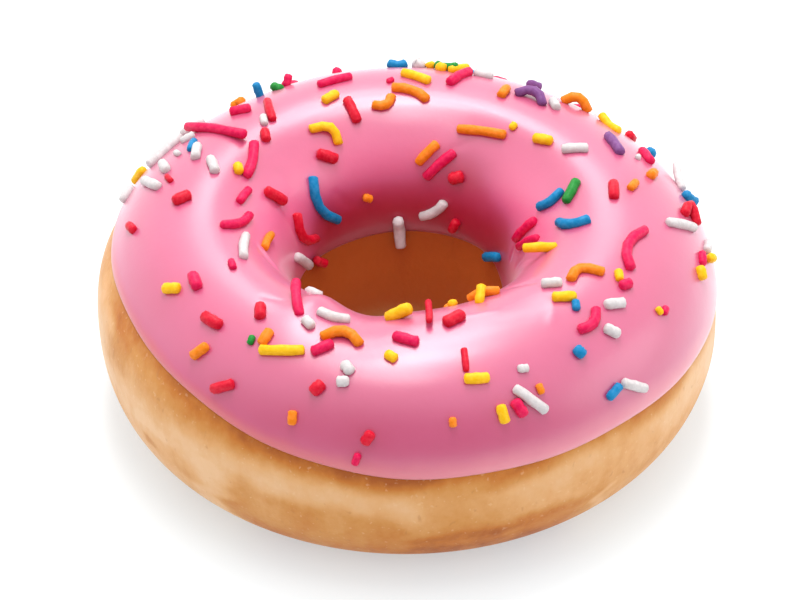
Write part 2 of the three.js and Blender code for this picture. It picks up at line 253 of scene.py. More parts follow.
dough = {
    "aroundSteps": 480, "coveredSteps": 22, "bareSteps": 150,
    "bake": 0.42,  # 0 palest, 1 brownest
    "paleBand": -0.3, "bandLevel": 3, "bandWidth": 6.5, "bandWaves": [(2, -220, 2.5), (5, -90, 1.2)],
    "underIceBrownAndShade": 0.5, "underIceBrownAndShadeWidth": 7, "underIceBrownAndShadeFacing": 265,  # browner along the icing, from frying and from painted shade under its edge, most so here
    "holeFrom": 112, "holeBlend": 30,
    # browner there, or paler if below 0: around from and to, level from and to, softness, how much
    "patches": [
        (236, 269, -80, -3, 3, 0.2), (271, 306, -80, -14, 4, 0.3), (238, 300, -80, -27, 7, 0.14),
        (268.5, 271.5, -9, 4, 2, -0.08), (222, 252, 11, 50, 6, 0.08), (254, 273, 8, 22, 4, 0.2),
        (183, 197, -20, 40, 6, -0.3), (199, 209, -2, 26, 3, 0.12), (213, 216.5, -14, -9, 1.2, 0.4),
        (222, 230, -16, -3, 2.5, 0.1), (206, 235, -40, -1, 3, -0.1), (196, 206, -60, 30, 4, 0.08),
        (284, 297, 4, 13, 3, 0.2), (300, 311, 1, 11, 3, -0.12), (273, 284, -12, 6, 3, 0.1),
        (312, 330, 7, 20, 4, 0.12), (322, 352, -6, 8, 5, -0.2), (276, 300, -22, -12, 3, 0.12),
        (306, 345, -60, -5, 5, -0.06), (306.5, 309, -34, -14, 1, -0.25), (318, 322, -22, -10, 2, 0.12),
        (20, 64, -80, -6, 3, 0.26), (64, 96, -80, -16, 6, 0.36), (102, 140, -80, -4, 3, 0.2),
        (146, 172, -80, -12, 4, 0.34), (0, 16, -20, 12, 6, -0.2), (96, 101, -30, 4, 2, -0.24),
        (120, 128, -12, -2, 2, 0.2), (40, 78, 8, 22, 5, 0.14), (142, 147, -24, 2, 2, -0.2),
        (229.5, 236, -40, 0, 2, -0.2), (211, 222, -3.5, 1, 1.5, -0.2), (330, 344, 1, 9, 3, -0.12),
        (240, 262, -8, -2, 2, 0.08),
    ],
    # waves that make the patches' borders ragged
    "raggedSides": [(13, -50, 1.5), (31, -90, 0.8)],
    "raggedLevels": [(7, -90, 1.6), (19, -40, 1.2), (43, -90, 0.6)],
}


def makeDough():
    # the skin less the dough's depth, closed all round
    # bake: a base, less a bell at the pale band, plus a bell at the icing's edge, partly painted shade, and
    # each patch's two spans
    around = np.linspace(0, 360, dough["aroundSteps"], endpoint=False)[:, None]
    covered = np.linspace(0, 1, dough["coveredSteps"], endpoint=False)[None, :]
    bare = np.linspace(0, 1, dough["bareSteps"], endpoint=False)[None, :]
    low, high = outerEdge(around), innerEdge(around)
    across = np.concatenate([low + (high - low) * covered, high + (low + 360 - high) * bare], 1)
    around = np.broadcast_to(around, across.shape)
    points = skin(around, across, -doughDepth(around, across), ring["doughDented"])
    level = turnBetween(across, 0)  # 0 outer equator, below 0 under it
    fromBand = level - dough["bandLevel"] - waves(around, dough["bandWaves"])
    bake = dough["bake"] + dough["paleBand"] * bell(fromBand, dough["bandWidth"])
    facing = 0.5 + 0.5 * cosine(around - dough["underIceBrownAndShadeFacing"])
    # fried brown and painted shade: the dough darker just under the icing's edge, most at the front
    bake = bake + dough["underIceBrownAndShade"] * bell(turnBetween(low, across), dough["underIceBrownAndShadeWidth"]) * facing
    raggedAround = around + waves(level, dough["raggedSides"])
    raggedLevel = level + waves(around, dough["raggedLevels"])
    for from1, to1, from2, to2, soft, much in dough["patches"]:
        beside = span(turnBetween(raggedAround, from1), turnBetween(to1, from1), soft)
        bake = bake + much * beside * span(raggedLevel - from2, to2 - from2, soft)
    # where the hole's brown goes, fried colour with painted shade
    inHole = smooth((np.abs(level) - dough["holeFrom"]) / dough["holeBlend"])
    facts = {"bake": bake, "inHole": inHole}
    piece = makePiece("doughRing", points, ringQuads(*across.shape), None, facts)
    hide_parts("dough")
    return piece


doughRing = makeDough()
print("dough made")

icing = {
    "aroundSteps": 520, "outSteps": 170, "inSteps": 14,
    "closer": 0.12,  # how much closer the rows lie at both edges
    "bead": 1.5, "sunk": 0.12,  # mm: the rounded edge, and how far the inner face lies in the dough
    # tone: 0 crimson, 0.5 pink, 1 palest; the crimson is painted shade in the hole, the palest is painted
    # light on the hole's sides
    "holeShadeFrom": 138, "holeShadeBlend": 34, "holeShadeFacing": 82, "holeShadeSharp": 2.2, "holeShadeOffset": 0.5,
    # painted shadow in a wedge on the hole's wall, and painted shade low at the front
    "holeWedgeShadow": (62, 142, 13, 13, 0.5), "frontShade": (266, 30, 32, 15, -0.1),
    "holeLightFrom": 110, "holeLightBlend": 30, "holeLightLimit": 1.6,
    # the outer edge is palest towards here
    "edgeFacing": 322, "edgeSharp": 1.1, "edgeOffset": 0.1,
    # less gloss near the outer edge, and in the hole
    "edgeDull": 0.8, "edgeDullMm": 3.5, "paleEdgeKeeps": 0.7,
    "holeDull": 0.6, "holeDullFrom": 122, "holeDullBlend": 25,
}


def makeIcing():
    # an outer face on the skin, rounded down at both edges by a quarter circle, and an inner face below it
    around = np.linspace(0, 360, icing["aroundSteps"], endpoint=False)[:, None]
    share = np.linspace(0, 1, icing["outSteps"] + 1)[None, :]
    share = share - icing["closer"] * np.sin(2 * np.pi * share) / (2 * np.pi)
    back = np.linspace(1, 0, icing["inSteps"])[None, :]
    low, high = outerEdge(around), innerEdge(around)
    outer = low + (high - low) * share
    inner = low + (high - low) * back
    fromEdge = np.minimum(outer - low, high - outer) * ring["mmPerDegree"]
    bead = 1 - np.sqrt(1 - (1 - np.clip(fromEdge / icing["bead"], 0, 1)) ** 2)
    outerAround = np.broadcast_to(around, outer.shape)
    innerAround = np.broadcast_to(around, inner.shape)
    outerPoints = skin(outerAround, outer, -(ring["edgeDepth"] + icing["sunk"] / 2) * bead)
    innerLift = -doughDepth(innerAround, inner) - icing["sunk"]
    innerPoints = skin(innerAround, inner, innerLift, ring["doughDented"])
    points = np.concatenate([outerPoints, innerPoints], 1)

    across = np.concatenate([outer, inner], 1)
    around = np.broadcast_to(around, across.shape)
    # painted shade: the icing turns crimson over the hole's back wall, where it lies in shade
    facingBack = smooth(cosine(around - icing["holeShadeFacing"]) * icing["holeShadeSharp"] - icing["holeShadeOffset"])
    holeShade = smooth((across - icing["holeShadeFrom"]) / icing["holeShadeBlend"]) * facingBack
    # painted shadow: a crimson wedge where a fold and a sprinkle shade the hole's wall
    holeShade = holeShade + mound(around, across, icing["holeWedgeShadow"])
    # painted light: the icing is paler on the hole's sides, standing in for light bounced round the hole
    pale = smooth((across - icing["holeLightFrom"]) / icing["holeLightBlend"]) * smooth(1 - icing["holeLightLimit"] * holeShade)
    tone = 0.5 - 0.5 * holeShade + 0.5 * pale + mound(around, across, icing["frontShade"])
    fromLow = (across - low) * ring["mmPerDegree"]  # mm up from the outer edge
    paleEdge = smooth(cosine(around - icing["edgeFacing"]) * icing["edgeSharp"] - icing["edgeOffset"])
    edgeDull = icing["edgeDull"] * smooth(1 - fromLow / icing["edgeDullMm"])
    edgeDull = edgeDull * (1 - icing["paleEdgeKeeps"] * paleEdge)
    holeDull = icing["holeDull"] * smooth((across - icing["holeDullFrom"]) / icing["holeDullBlend"])
    gloss = (1 - holeDull) * (1 - edgeDull)
    facts = {"fromLow": fromLow, "tone": tone, "paleEdge": paleEdge, "gloss": gloss}
    piece = makePiece("icingCoat", points, ringQuads(*points.shape[:2]), None, facts)
    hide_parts("icing")
    return piece


icingCoat = makeIcing()
print("icing made")

# Each row: around and across of one end, and of the other, then in mm how far the middle bows to the
# left and arches up (below 0 both ends stand off), how far the second end stands off, and the girth.
sprinkles = {
    "radius": 0.8, "lift": 0.37,
    # shares of how far the second end stands off, by which the first one sinks and the middle rises
    "foot": 0.25, "middleTip": 0.4,
    "sides": 8, "bands": 6, "lumps": 0.05, "lumpStep": 1.2,
    # sines: how many times the station, the turn and the rod's own number, and how high
    "lumpWaves": [(1.9, 0, 2.4, 1), (2.6, 1, 1.7, 0.7), (0, 2, 3.1, 0.6)],
    "capLength": 0.62, "capRoundness": 2.6,  # shares of the radius, and 2 for a round cap
    "strewn": [(12, 166, 26, 58, 20), (226, 322, 138, 166, 6)],  # least and most around, across, count
    "strewnRoom": 4.6, "strewnTries": 4000,
    "strewnTurn": (0, 180), "strewnHalf": (0.5, 1.9), "strewnBow": (-0.6, 0.6),
    "strewnColours": ["white", "pink", "yellow", "red", "orange", "blue", "white", "pink", "purple"],
    "seed": 13, "seedFactor": 16807, "seedLimit": 2147483647,
    "numberStep": 13,  # each colour's rods are numbered from this many further on
}
sprinkleRows = {
    "white": [
        [158.5, 48, 149.6, 54, 0, -0.1, 0, 1.1], [160.3, 80.5, 155.8, 77], [161.9, 61.8, 165, 67.1],
        [171.5, 66.5, 167, 55], [165.3, 94.5, 160.8, 89.3], [194.9, 116.5, 208, 106.1, 0, 0, 0, 0.95],
        [165.2, 168, 153.5, 180], [95.1, 173.9, 93.9, 184.8, 0, -0.6, 0, 1.15],
        [81.8, 171.4, 70.4, 162.5, -0.4], [243.4, 87.5, 245.2, 85.8],
        [245, 97.4, 252.2, 101.5, -0.4, 0, 0, 0.95], [256.8, 66.8, 258, 64.2, 0, 0, 0, 1.05],
        [256.5, 58.1, 257.7, 58.6], [291.2, 49.8, 295.5, 37.6], [315.6, 59, 316.9, 54.5],
        [313.3, 32.5, 317.2, 24.9, 0, 0, 0, 0.97], [320.2, 68.3, 323.4, 64.3], [313.9, 98.2, 317, 92.9],
        [356.2, 61.4, 360.3, 44.8, 0, 0, 0, 0.95], [361.6, 29.9, 358.1, 32.7, 0, 0, 0, 0.9],
        [15.8, 40, 22.7, 38, 0, -0.3, 1.1, 0.87], [87.8, 56, 87.1, 57, 0, -0.1, 0, 1.35],
        [72.9, 66.7, 69.4, 66.9, 0, 0, 0, 0.95], [50.2, 73.6, 47.8, 77.4], [29.9, 100.5, 26.8, 90.6],
    ],
    "red": [
        [179.5, 79.8, 177.9, 85, 0, 0, 0, 1.2], [181.7, 51.8, 184.1, 54.7, 0, 0, 0, 0.85],
        [221.9, 64.5, 225.7, 65.1, 0, 0, 0, 1.15], [230.6, 84.6, 232.6, 79.8, 0, 0, 0, 1.05],
        [235.3, 42.5, 232.2, 37], [252, 51.8, 252.9, 54.8, 0, 0, 0, 1.15], [263.4, 35.3, 262.6, 32],
        [282.8, 74.5, 282.2, 64, 0, 0, 0, 0.6], [275.8, 92.9, 277.5, 120.3, 0, -0.8, 0, 0.65],
        [280.7, 92.5, 284.9, 95.8, 0, 0, 0, 1.15], [123, 134.5, 128, 129.5, 0, 0, 0, 1.2],
        [157.3, 138.5, 161.3, 128, 0, 0, 0, 1.1], [154, 150.9, 145.4, 169.6, -1.9],
        [141.8, 183.3, 147.8, 180, 0, -0.5, 0, 0.9], [109.5, 101.3, 108.8, 115.5, 0, 0, 0, 1.05],
        [129.4, 79, 134.2, 94.5, 0, 0, 0, 0.85], [140.4, 100.3, 142.4, 104.8],
        [63.8, 145.7, 67.5, 147.9, 0, 0, 0, 1.2], [64.2, 175, 62.2, 170.5], [2.3, 89.2, 8, 88.2],
        [3.5, 49.7, 3.9, 40.1, 2.4, 0.5],
    ],
    "pink": [
        [146.3, 55.6, 147.3, 94.7, 0, -0.7], [137.7, 70.7, 135, 76.7, 0, 0, 0, 1.05],
        [167.6, 117.3, 174.8, 114.6, 0, 0, 0, 0.85], [191, 103.7, 180.7, 121.5, -1, 0, 0, 0.95],
        [147.5, 103, 161, 112.3, 0.6], [210, 75.3, 213.2, 73.5, 0, 0, 0, 1.15],
        [240.3, 90.8, 231.3, 110.1, 0, 0, 1.2, 0.92], [249.2, 71.5, 251.9, 77.5], [267.2, 86.1, 271.9, 82],
        [290.4, 44, 291.3, 38.7, 0, 0, 0, 1.1], [310.3, 65.4, 316.6, 69.3, -0.7],
        [327.7, 70.2, 329.3, 68.5], [334.4, 73, 349.3, 74, 1.7], [354.5, 37.8, 352.2, 36.8, 0, 0, 0, 0.85],
        [8.2, 138.1, 13.6, 154.7, 0, 0, 0, 0.95], [365.7, 153.9, 354.7, 137.5, 0, 0, 0, 0.85],
        [69.8, 134.5, 80.3, 149.3], [119.3, 60, 118.3, 60, 0, 0, 1, 0.85],
        [113.9, 80.8, 105.6, 78.8, 0, 0, 0, 0.95], [77.8, 86.1, 74.8, 68.8, 0, 0, 0, 1.05],
    ],
    "yellow": [
        [159.8, 104.8, 161.6, 107.1], [208, 60.9, 210.2, 65.4, 0, 0, 0, 1.05], [238.4, 63.5, 246.4, 70],
        [265.7, 74.6, 267, 72.7, 0, 0, 0, 0.95], [264.4, 108.8, 270.2, 105.8, 0, 0, 0.9, 1.15],
        [282, 59.3, 285.8, 58.3], [287.4, 43.3, 287.7, 37.5], [311.5, 86.7, 315.3, 81.8],
        [349.4, 38.1, 348.2, 35.7, 0, 0, 0, 1.05], [355.6, 32, 357.5, 28, 0, -0.6, -0.2, 0.85],
        [339.5, 120.1, 334.2, 130, 0, 0, 2, 0.95], [293.9, 111.4, 296.7, 115.3, 0, 0, 1.4, 0.9],
        [116, 96.4, 112.1, 93.7], [125.8, 113.4, 118.7, 126.3, 1.4, 0.3], [90.9, 79.5, 84.3, 86.8],
        [85.2, 57, 84.2, 57, 0, -0.3, 0.1, 0.8], [82.3, 65.2, 81.4, 66.9, 0, 0, 0, 1.05],
        [79.1, 68, 76.2, 60, 0, 0, 0.3, 0.95], [40.9, 106.4, 36.5, 102.7, 0, 0, 0, 1.05],
        [40.8, 56, 35.1, 56, 0, -0.4, -0.5, 0.95],
    ],
    "orange": [
        [237.4, 73.3, 237.4, 67.5], [226.4, 52.3, 225, 46], [248.8, 39.3, 249, 35.2, 0, 0, 0, 0.85],
        [249.6, 81.8, 258.3, 81.3, 1.4, 0.5], [320.8, 90.5, 328, 82.5, 1.6],
        [294.4, 124.8, 302.4, 116.1, 0, 0.4, 0, 0.95], [181.2, 139.2, 195.3, 130.5, 0, 0, 0, 0.85],
        [109.6, 161, 111.8, 159.8, 0, 0, 0, 0.85], [101.2, 107.5, 95.4, 102.5, -0.9],
        [94, 94.2, 84, 103, 0.5], [62.2, 87, 62.6, 80], [50, 63.1, 45.2, 55.9, 0, 1.2],
        [13.4, 65.5, 15, 62.5], [6.4, 80.3, 8.8, 77, 0, 0, 0, 0.85], [69.5, 119.5, 52.7, 114.1],
        [77.8, 131.5, 84.6, 142],
    ],
    "green": [
        [5.8, 115, 12.8, 106.8], [122.4, 60, 121.6, 63.5, 0, -0.3, -0.5, 0.95],
        [83, 60, 78.4, 66, 0, -0.3, 0.2, 0.9],
    ],
    "blue": [
        [306.6, 57.3, 307, 54.8, 0, 0, 0, 1.1], [309.2, 30.6, 311.7, 32.7, 0, 0, 0, 0.88],
        [351.1, 103.1, 354.2, 120.5, 1.1], [12, 117, 12.5, 131, 0.7], [129.3, 166.5, 136.3, 140, 1.9],
        [126.7, 61, 127, 62.2, 0, 0, 1.6, 0.85], [94, 57, 90.7, 57, 0, -0.3, -0.1, 0.95],
        [38.4, 180.1, 27.5, 174.7], [12.3, 42, 13, 34, 0, -0.2, 0.1, 1],
    ],
    "purple": [
        [59.1, 80, 51.4, 79.9, 0.9, 0.8], [30.7, 72.2, 23.2, 74.9, 0, 0, 0, 1.05],
    ],
}
chipRows = {  # tiny ones, which lie between the others
    "white": [
        [151.8, 61.3, 149.8, 64.6, 0, 0, 0, 0.8], [158.4, 68, 157.4, 65, 0, 0, 0, 0.6],
        [135.7, 90, 137.4, 94.3, 0, 0, 0, 0.8], [293.2, 58.8, 294.5, 58.2, 0, 0, 0, 0.75],
        [21.3, 65.5, 21.9, 64.5, 0, 0, 0, 0.6],
    ],
    "red": [[168.1, 69.9, 170.1, 73.3, 0, 0, 0, 0.6]],
    "pink": [
        [210, 96.2, 212.6, 94.6, 0, 0, 0, 0.7], [261.4, 25, 261, 21.5, 0, 0, 0, 0.7],
        [330.9, 46, 331.9, 46.8, 0, 0, 0, 0.7], [95.4, 87.3, 94.4, 85.9, 0, 0, 0, 0.6],
    ],
    "yellow": [
        [330, 49.6, 330, 47.5, 0, 0, 0, 0.65], [51.3, 107.8, 51.2, 105.5, 0, 0, 0, 0.75],
        [286, 121, 287, 123, 0, 0, 0, 0.8], [330.8, 76, 329.1, 73.5, 0, 0, 0, 0.85],
    ],
    "orange": [[278.2, 41.5, 278.2, 39, 0, 0, 0, 0.7], [295.8, 48.5, 295.9, 45.5, 0, 0, 0, 0.7]],
    "green": [[234.6, 67.5, 234.9, 64.8, 0, 0, 0, 0.65]],
    "blue": [[314.3, 78.3, 313.2, 75.8, 0, 0, 0, 0.8], [156.7, 73.7, 152.9, 71, 0, 0, 0, 0.75]],
}


def fullRow(row):
    return list(row) + [0, 0, 0, 1][len(row) - 4:]


def strew(rows, addTo):
    # spots drawn by a seeded rule, kept only where there is room between the middles
    seed = sprinkles["seed"]
    middles = [plainSkin((row[0] + row[2]) / 2, (row[1] + row[3]) / 2) for row in rows]
    colours = sprinkles["strewnColours"]
    made = 0
    for leastAround, mostAround, leastAcross, mostAcross, count in sprinkles["strewn"]:
        ranges = [(leastAround, mostAround), (leastAcross, mostAcross)]
        ranges += [sprinkles["strewnTurn"], sprinkles["strewnHalf"], sprinkles["strewnBow"]]
        found, tries = 0, 0
        while found < count and tries < sprinkles["strewnTries"]:
            tries += 1
            drawn = []
            for least, most in ranges:
                seed = (seed * sprinkles["seedFactor"]) % sprinkles["seedLimit"]
                drawn.append(least + (most - least) * seed / sprinkles["seedLimit"])
            around, across, turn, half, bow = drawn
            spot = plainSkin(around, across)
            nearest = min(np.linalg.norm(spot - middle) for middle in middles)
            if nearest < sprinkles["strewnRoom"] + half / 2:
                continue
            aroundHalf = half * cosine(turn) / np.radians(np.hypot(spot[0], spot[1]))
            acrossHalf = half * sine(turn) / ring["mmPerDegree"]
            middles.append(spot)
            ends = [around - aroundHalf, across - acrossHalf, around + aroundHalf, across + acrossHalf]
            addTo[colours[made % len(colours)]].append(ends + [bow])
            found += 1
            made += 1


def rodPoints(rows, firstNumber):
    # rings about a curve through three lifted points; the radius falls off round at both blunt ends
    columns = np.array([fullRow(row) for row in rows], float).T
    around1, across1, around2, across2, bow, arch, tip, girth = columns
    radius = sprinkles["radius"] * girth
    around, across = (around1 + around2) / 2, (across1 + across2) / 2
    spot = plainSkin(around, across)
    aroundScale = np.radians(np.hypot(spot[:, 0], spot[:, 1]))
    acrossScale = ring["mmPerDegree"]
    alongAround, alongAcross = (around2 - around1) * aroundScale, (across2 - across1) * acrossScale
    chord = np.hypot(alongAround, alongAcross)
    middleAround = around - alongAcross / chord * bow / aroundScale
    middleAcross = across + alongAround / chord * bow / acrossScale
    lift = sprinkles["lift"] * girth
    endLift = lift + np.maximum(0, -arch)
    start = skin(around1, across1, endLift - sprinkles["foot"] * np.maximum(0, tip))
    middle = skin(middleAround, middleAcross, lift + np.maximum(0, arch) + sprinkles["middleTip"] * tip)
    end = skin(around2, across2, endLift + tip)

    # nine stations: a tip, two rings of the cap, three of the rod, two of the other cap, and its tip
    t = np.array([-1, -1, -1, -0.5, 0, 0.5, 1, 1, 1])[None, :, None]
    fromTip = np.array([0, 0.12, 0.6, 2, 2, 2, 0.6, 0.12, 0])[None, :]  # in cap lengths
    outwards = np.array([-1] * 3 + [0] * 3 + [1] * 3)[None, :]
    beyond = np.where(fromTip < 1, (1 - fromTip) * sprinkles["capLength"] * radius[:, None], 0) * outwards
    start, middle, end = start[:, None], middle[:, None], end[:, None]
    centre = start * (t * t - t) / 2 + middle * (1 - t * t) + end * (t * t + t) / 2
    along = unit(start * (t - 0.5) - middle * 2 * t + end * (t + 0.5))
    centre = centre + along * beyond[..., None]
    up = normalAt(middleAround, middleAcross)[:, None]
    side = unit(np.cross(up, along))
    top = np.cross(along, side)

    number = (firstNumber + np.arange(len(rows)))[:, None, None]
    station = np.arange(t.size)[None, :, None] * sprinkles["lumpStep"]
    turn = np.linspace(0, 2 * np.pi, sprinkles["sides"], endpoint=False)[None, None, :]
    roundness = sprinkles["capRoundness"]
    size = radius[:, None] * (1 - np.clip(1 - fromTip, 0, 1) ** roundness) ** (1 / roundness)
    lump = 0
    for byStation, byTurn, byNumber, high in sprinkles["lumpWaves"]:
        lump = lump + high * np.sin(byStation * station + byTurn * turn + byNumber * number)
    size = size[:, :, None] * (1 + sprinkles["lumps"] * lump)
    rings = centre[:, :, None] + top[:, :, None] * (size * np.cos(turn))[..., None]
    rings = rings + side[:, :, None] * (size * np.sin(turn))[..., None]
    tips = centre[:, [0, -1]]
    return np.concatenate([tips, rings[:, 1:-1].reshape(len(rows), -1, 3)], 1)


def makeSprinkles(colour, rows, firstNumber):
    # each rod's points are its two tips and then its rings: quads join the rings, triangles close the tips
    sides, bands = sprinkles["sides"], sprinkles["bands"]
    points = rodPoints(rows, firstNumber)
    offset = np.arange(len(rows))[:, None, None] * points.shape[1]
    i, j = np.meshgrid(np.arange(bands), np.arange(sides), indexing="ij")
    here, beside = 2 + i * sides + j, 2 + i * sides + (j + 1) % sides
    quads = np.stack([here, here + sides, beside + sides, beside], -1)
    quads = (quads.reshape(1, -1, 4)[..., ::-1] + offset).reshape(-1, 4)
    j = np.arange(sides)
    nextJ = (j + 1) % sides
    last = 2 + bands * sides
    first = np.stack([0 * j, 2 + j, 2 + nextJ], -1)[:, ::-1]
    second = np.stack([0 * j + 1, last + nextJ, last + j], -1)[:, ::-1]
    triangles = (np.concatenate([first, second])[None] + offset).reshape(-1, 3)
    piece = makePiece(colour + "Sprinkles", points, quads, triangles)
    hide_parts("icing")
    return piece


allRows = {name: list(rows) for name, rows in sprinkleRows.items()}
strew([row for rows in sprinkleRows.values() for row in rows], allRows)
for name, rows in chipRows.items():
    allRows[name] += rows
sprinklePieces = {}
for name, rows in allRows.items():
    sprinklePieces[name] = makeSprinkles(name, rows, sprinkles["numberStep"] * len(sprinklePieces))
print("sprinkles made:", sum(len(rows) for rows in allRows.values()))


def feed(shader, inputs):
    # wires become links, and numbers and colours go straight onto the sockets
    for name, value in inputs.items():
        if isinstance(value, Wire):
            value.tree.links.new(value.socket, shader.inputs[name])
        else:
            shader.inputs[name].default_value = value


class Wire:
    # a shader socket on which sums add Math nodes
    def __init__(self, tree, socket=None):
        self.tree, self.socket = tree, socket

    def node(self, kind, settings, inputs, output=0):
        made = self.tree.nodes.new(kind)
        for name, value in settings.items():
            if name == "stops":
                while len(made.color_ramp.elements) < len(value):
                    made.color_ramp.elements.new(0.5)
                for element, (place, tone) in zip(made.color_ramp.elements, value):
                    element.position, element.color = place, (*tone, 1)
            else:
                setattr(made, name, value)
        feed(made, inputs)
        return Wire(self.tree, made.outputs[output])

    def maths(self, operation, *values):
        return self.node("ShaderNodeMath", {"operation": operation}, dict(enumerate(values)))

    def __add__(self, other):
        return self.maths("ADD", self, other)

    def __sub__(self, other):
        return self.maths("SUBTRACT", self, other)

    def __rsub__(self, other):
        return self.maths("SUBTRACT", other, self)

    def __mul__(self, other):
        return self.maths("MULTIPLY", self, other)

    __radd__ = __add__
    __rmul__ = __mul__

    def between(self, low, high):
        # 0 at low, 1 at high, smooth in between
        ends = {"Value": self, "From Min": low, "From Max": high}
        return self.node("ShaderNodeMapRange", {"interpolation_type": "SMOOTHSTEP"}, ends)

    def noise(self, scale, detail=3.0, roughness=0.5, distortion=0.0):
        sizes = {"Scale": scale, "Detail": detail, "Roughness": roughness, "Distortion": distortion}
        return self.node("ShaderNodeTexNoise", {}, {"Vector": self, **sizes})

    def times(self, factors):
        # a stretched place
        return self.node("ShaderNodeVectorMath", {"operation": "MULTIPLY"}, {0: self, 1: factors})

    def attribute(self, name):
        return self.node("ShaderNodeAttribute", {"attribute_name": name}, {}, "Fac")

    def ramp(self, stops):
        return self.node("ShaderNodeValToRGB", {"stops": stops}, {0: self})

    def mix(self, first, second):
        # a colour between two, by this factor
        first, second = [tone if isinstance(tone, Wire) else (*tone, 1) for tone in (first, second)]
        return self.node("ShaderNodeMix", {"data_type": "RGBA"}, {0: self, 6: first, 7: second}, 2)

    def bump(self, height, distance, strength):
        sizes = {"Height": height, "Distance": distance, "Strength": strength}
        return self.node("ShaderNodeBump", {}, sizes)


def startMaterial(name):
    material = bpy.data.materials.new(name)
    material.use_nodes = True
    tree = material.node_tree
    place = Wire(tree).node("ShaderNodeTexCoord", {}, {}, "Object")
    return material, tree.nodes["Principled BSDF"], place


def finishPiece(piece, material):
    piece.data.materials.clear()
    piece.data.materials.append(material)


# Noise is given as its scale, detail and roughness, then its distortion where it has any.
crust = {
    # how far baked, and the colour there
    "bakes": [
        (0.0, (0.77, 0.47, 0.25)), (0.3, (0.70, 0.36, 0.14)), (0.55, (0.60, 0.26, 0.062)),
        (0.78, (0.52, 0.165, 0.02)), (1.0, (0.36, 0.085, 0.008)),
    ],
    "streaks": (260, 4, 0.6), "streakStretch": (1, 1, 0.6), "streaksBake": 0.38, "streaksRise": 0.5,
    "clouds": (75, 4, 0.6), "cloudsBake": 0.62, "cloudsRise": 0.7,
    "grain": (700, 3, 0.6), "grainBake": 0.2, "grainRise": 0.25,
    "pores": (1600, 2, 0.6), "poresRise": 0.12,
    "fleck": (0.84, 0.60, 0.38), "flecks": (1500, 1, 0.3), "fleckRange": (0.68, 0.78), "fleckShare": 0.2,
    "crack": (0.42, 0.16, 0.045), "cracks": (800, 2, 0.4, 0.5), "crackStretch": (1, 1, 0.7),
    "crackRange": (0.66, 0.76), "crackShare": 0.3,
    "hole": (0.43, 0.088, 0.0095), "holeBrownAndShadeShare": 0.95,
    "roughness": 0.46, "roughnessVaries": 0.25, "specular": 0.25,
    "subsurface": 0.12, "subsurfaceRadius": (1.0, 0.5, 0.25), "subsurfaceScale": 0.002,
    "wrinkle": 0.45, "wrinkleDepth": 0.0006,
}


def makeCrust():
    # a ramp over bake and three noises, then flecks, cracks and the hole's brown, fried colour with painted
    # shade, mixed over it
    material, shader, place = startMaterial("fried crust")
    streaks = place.times(crust["streakStretch"]).noise(*crust["streaks"])
    clouds = place.noise(*crust["clouds"])
    grain = place.noise(*crust["grain"])
    level = place.attribute("bake") + (streaks - 0.5) * crust["streaksBake"]
    level = level + (clouds - 0.5) * crust["cloudsBake"] + (grain - 0.5) * crust["grainBake"]
    flecks = place.noise(*crust["flecks"]).between(*crust["fleckRange"]) * crust["fleckShare"]
    cracks = place.times(crust["crackStretch"]).noise(*crust["cracks"]).between(*crust["crackRange"])
    base = flecks.mix(level.ramp(crust["bakes"]), crust["fleck"])
    base = (cracks * crust["crackShare"]).mix(base, crust["crack"])
    # the hole's dark brown is partly fried colour and partly painted shade inside the hole
    base = (place.attribute("inHole") * crust["holeBrownAndShadeShare"]).mix(base, crust["hole"])
    wrinkles = streaks * crust["streaksRise"] + grain * crust["grainRise"] + clouds * crust["cloudsRise"]
    wrinkles = wrinkles + place.noise(*crust["pores"]) * crust["poresRise"]
    feed(shader, {
        "Base Color": base, "Roughness": crust["roughness"] + (clouds - 0.5) * crust["roughnessVaries"],
        "Specular IOR Level": crust["specular"], "Subsurface Weight": crust["subsurface"],
        "Subsurface Radius": crust["subsurfaceRadius"], "Subsurface Scale": crust["subsurfaceScale"],
        "Normal": place.bump(wrinkles, crust["wrinkleDepth"], crust["wrinkle"]),
    })
    return material


finishPiece(doughRing, makeCrust())

glaze = {
    # painted shade makes the icing crimson at the back of the hole, pink elsewhere, and painted light makes
    # it palest at the hole's sides
    "tones": [(0.0, (0.40, 0.002, 0.036)), (0.5, (0.565, 0.07, 0.186)), (1.0, (0.74, 0.12, 0.27))],
    "mottle": (60, 3, 0.5), "mottleShare": 0.25,
    # the crust shows through the thin edge, which is paler on one side
    "thin": (0.64, 0.085, 0.045), "pale": (0.76, 0.22, 0.28), "thinShare": 0.6, "paleAdds": 0.25,
    "thinFrom": 0.1, "thinTo": 2.4, "paleWider": 1.8, "ragged": (150, 3, 0.6), "raggedMm": 1.6,  # mm
    "roughness": 0.36, "uneven": (240, 3, 0.6), "roughnessVaries": 0.1, "specular": 0.85,
    "sheen": 0.25, "sheenRoughness": 0.4, "coat": 1.0, "coatRoughness": 0.26,
    "subsurface": 0.15, "subsurfaceRadius": (1.0, 0.35, 0.5), "subsurfaceScale": 0.002,
    "pits": (900, 3, 0.6), "pitShare": 0.4, "ripples": (120, 2, 0.5), "grain": 0.24, "grainDepth": 0.0002,
}


